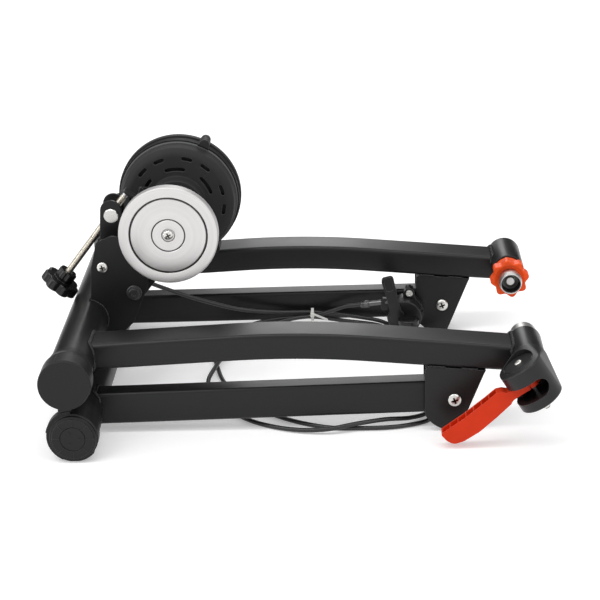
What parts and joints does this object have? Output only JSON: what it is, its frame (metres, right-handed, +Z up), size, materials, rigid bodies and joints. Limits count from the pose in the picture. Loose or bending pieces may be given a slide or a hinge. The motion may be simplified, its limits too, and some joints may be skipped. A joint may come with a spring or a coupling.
{
  "type": "magnetic bike trainer",
  "caption": "Folding indoor bicycle trainer with a swinging roller, flywheel and cable-controlled magnetic brake, and a cam clamp for the rear axle.",
  "frame": {"origin": "middle of the overall box at floor level, with the trainer folded flat", "axes": "+X from the cross tubes towards the axle clamps, +Y across the trainer from the lever side to the lock nut side, +Z up"},
  "size_m": [0.571, 0.481, 0.2605],
  "materials": {
    "powder_coat": "satin black powder coat",
    "black_plastic": "moulded, fine texture",
    "orange_plastic": "moulded, semi-gloss",
    "zinc": "zinc plated",
    "turned_steel": "turned",
    "aluminium": "cast and turned",
    "black_oxide": "black oxide",
    "magnet_plate": "plated",
    "nylon": "natural",
    "cable_jacket": "extruded"
  },
  "bodies": {
    "leg_frame": {"lower_cross_tube": "powder_coat", "near_leg": "powder_coat", "far_leg": "powder_coat", "near_pivot_bush": "turned_steel", "far_pivot_bush": "turned_steel", "shifter_body": "black_plastic", "shifter_clamp": "black_plastic", "shifter_clamp_screw": "zinc", "brake_cable": "cable_jacket", "cable_tie": "nylon"},
    "near_foot_cam": {"near_lower_cap": "black_plastic"},
    "far_foot_cam": {"far_lower_cap": "black_plastic"},
    "main_frame": {"upper_cross_tube": "powder_coat", "near_upper_cap": "black_plastic", "far_upper_cap": "black_plastic", "near_arm": "powder_coat", "far_arm": "powder_coat", "near_gusset": "powder_coat", "far_gusset": "powder_coat", "near_pivot_bolt": "zinc", "far_pivot_bolt": "zinc", "near_pivot_nut": "zinc", "far_pivot_nut": "zinc", "near_sleeve": "powder_coat", "far_sleeve": "powder_coat", "roller_bracket": "powder_coat", "clevis_bolt": "zinc", "clevis_nut": "zinc", "tension_clevis": "powder_coat", "barrel_nut": "zinc", "yoke_pivot_bolt": "black_oxide", "yoke_pivot_nut": "black_oxide", "lever_housing": "black_plastic", "lever_pin": "zinc", "lever_pin_nut": "zinc"},
    "roller_unit": {"swing_yoke": "powder_coat", "near_bearing": "turned_steel", "far_bearing": "turned_steel", "housing_front_cover": "black_plastic", "housing_rear_cover": "black_plastic", "housing_screw_1": "zinc", "housing_screw_2": "zinc", "housing_screw_3": "zinc"},
    "rotor": {"roller": "turned_steel", "roller_axle": "turned_steel", "flywheel": "turned_steel", "flywheel_screw": "zinc", "rotor_disc": "aluminium"},
    "magnet_carrier": {"magnet_plate": "magnet_plate"},
    "thrust": {"thrust_pad": "turned_steel"},
    "tension_screw": {"threaded_rod": "zinc", "tension_knob": "black_plastic"},
    "quick_lever": {"cam_lever": "orange_plastic"},
    "near_cup": {"near_axle_cup": "zinc", "clamp_spindle": "turned_steel"},
    "far_cup": {"far_axle_cup": "zinc"},
    "lock_nut": {"star_nut": "orange_plastic"},
    "resistance_lever": {"shift_lever": "black_plastic"},
    "dial": {"shifter_dial": "black_plastic"},
    "adjuster": {"cable_adjuster": "black_oxide"}
  },
  "joints": [
    {"name": "frame_unfold", "type": "hinge", "parent": "leg_frame", "child": "main_frame", "pos_m": [0.17415, 0, 0.0363], "axis": [0, 1, 0], "range_deg": [0, 66]},
    {"name": "near_foot_turn", "type": "hinge", "parent": "leg_frame", "child": "near_foot_cam", "pos_m": [-0.22535, -0.2405, 0.0273], "axis": [0, 1, 0], "range_deg": [0, 225]},
    {"name": "far_foot_turn", "type": "hinge", "parent": "leg_frame", "child": "far_foot_cam", "pos_m": [-0.22535, 0.2405, 0.0273], "axis": [0, 1, 0], "range_deg": [0, 225]},
    {"name": "roller_swing", "type": "hinge", "parent": "main_frame", "child": "roller_unit", "pos_m": [-0.17735, 0, 0.1182], "axis": [0, 1, 0], "range_deg": [0, 16]},
    {"name": "rotor_spin", "type": "hinge", "parent": "roller_unit", "child": "rotor", "pos_m": [-0.13515, 0, 0.1888], "axis": [0, 1, 0], "continuous": true},
    {"name": "magnet_shift", "type": "hinge", "parent": "roller_unit", "child": "magnet_carrier", "pos_m": [-0.13515, 0.068, 0.1888], "axis": [0, 1, 0], "range_deg": [0, 30]},
    {"name": "lever_throw", "type": "hinge", "parent": "leg_frame", "child": "resistance_lever", "pos_m": [0.11885, 0.0887, 0.036], "axis": [0, 1, 0], "range_deg": [0, 60]},
    {"name": "dial_turn", "type": "hinge", "parent": "leg_frame", "child": "dial", "pos_m": [0.13235, 0.073, 0.0178], "axis": [0, 0, 1], "range_deg": [0, 270]},
    {"name": "adjuster_turn", "type": "hinge", "parent": "leg_frame", "child": "adjuster", "pos_m": [0.07585, 0.1105, 0.0426], "axis": [0.9493, -0.2455, 0.1964], "range_deg": [0, 360]},
    {"name": "thrust_travel", "type": "slide", "parent": "main_frame", "child": "thrust", "axis": [0.6102, 0, 0.7923], "range_m": [0, 0.02]},
    {"name": "knob_turn", "type": "hinge", "parent": "thrust", "child": "tension_screw", "pos_m": [-0.20295, 0, 0.1983], "axis": [0.6102, 0, 0.7923], "range_deg": [0, 5760]},
    {"name": "cam_throw", "type": "hinge", "parent": "main_frame", "child": "quick_lever", "pos_m": [0.25295, -0.205, 0.0693], "axis": [-0.5398, 0, 0.8418], "range_deg": [0, 100]},
    {"name": "near_cup_travel", "type": "slide", "parent": "main_frame", "child": "near_cup", "axis": [0, -1, 0], "range_m": [0, 0.0076]},
    {"name": "far_cup_travel", "type": "slide", "parent": "main_frame", "child": "far_cup", "axis": [0, -1, 0], "range_m": [0, 0.02]},
    {"name": "lock_nut_turn", "type": "hinge", "parent": "main_frame", "child": "lock_nut", "pos_m": [0.25115, 0.072, 0.0865], "axis": [0, -1, 0], "range_deg": [0, 2420]}
  ],
  "couplings": [
    {"joint": "thrust_travel", "follows": "roller_swing", "m_per_rad": 0.0691},
    {"joint": "knob_turn", "follows": "roller_swing", "ratio": 347.33},
    {"joint": "lever_throw", "follows": "magnet_shift", "ratio": 2},
    {"joint": "near_cup_travel", "follows": "cam_throw", "m_per_rad": 0.0043},
    {"joint": "lock_nut_turn", "follows": "far_cup_travel", "rad_per_m": 2094.4}
  ]
}
